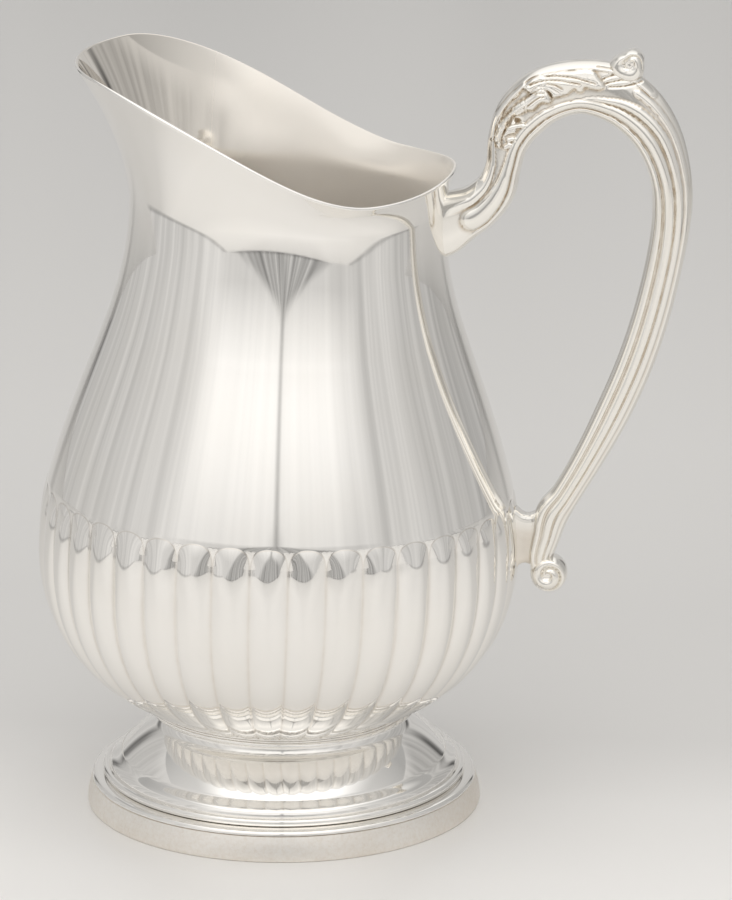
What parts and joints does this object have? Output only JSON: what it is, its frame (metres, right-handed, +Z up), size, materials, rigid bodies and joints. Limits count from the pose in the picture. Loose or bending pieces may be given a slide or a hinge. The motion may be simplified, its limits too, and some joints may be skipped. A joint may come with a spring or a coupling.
{
  "type": "water pitcher",
  "caption": "Footed silver-plated water pitcher with a lobed lower bowl, plain waisted upper body, wide pouring lip and a high reeded scroll handle.",
  "frame": {"origin": "middle of the pitcher's bounding box, on the table plane under the foot band", "axes": "+X towards the handle, -X towards the pouring lip, +Z up"},
  "size_m": [0.1954, 0.145, 0.2347],
  "materials": {
    "bright_silver": "polished silver plate",
    "satin_silver": "satin silver plate with fine wear",
    "tarnished_silver": "polished silver plate with tarnish left in the grooves"
  },
  "bodies": {
    "root": {"foot_band": "satin_silver", "pedestal": "bright_silver", "waist_ring": "bright_silver", "lower_bowl": "bright_silver", "upper_body": "bright_silver", "handle_near_half": "tarnished_silver", "handle_far_half": "tarnished_silver", "lower_strut": "tarnished_silver"}
  },
  "joints": []
}
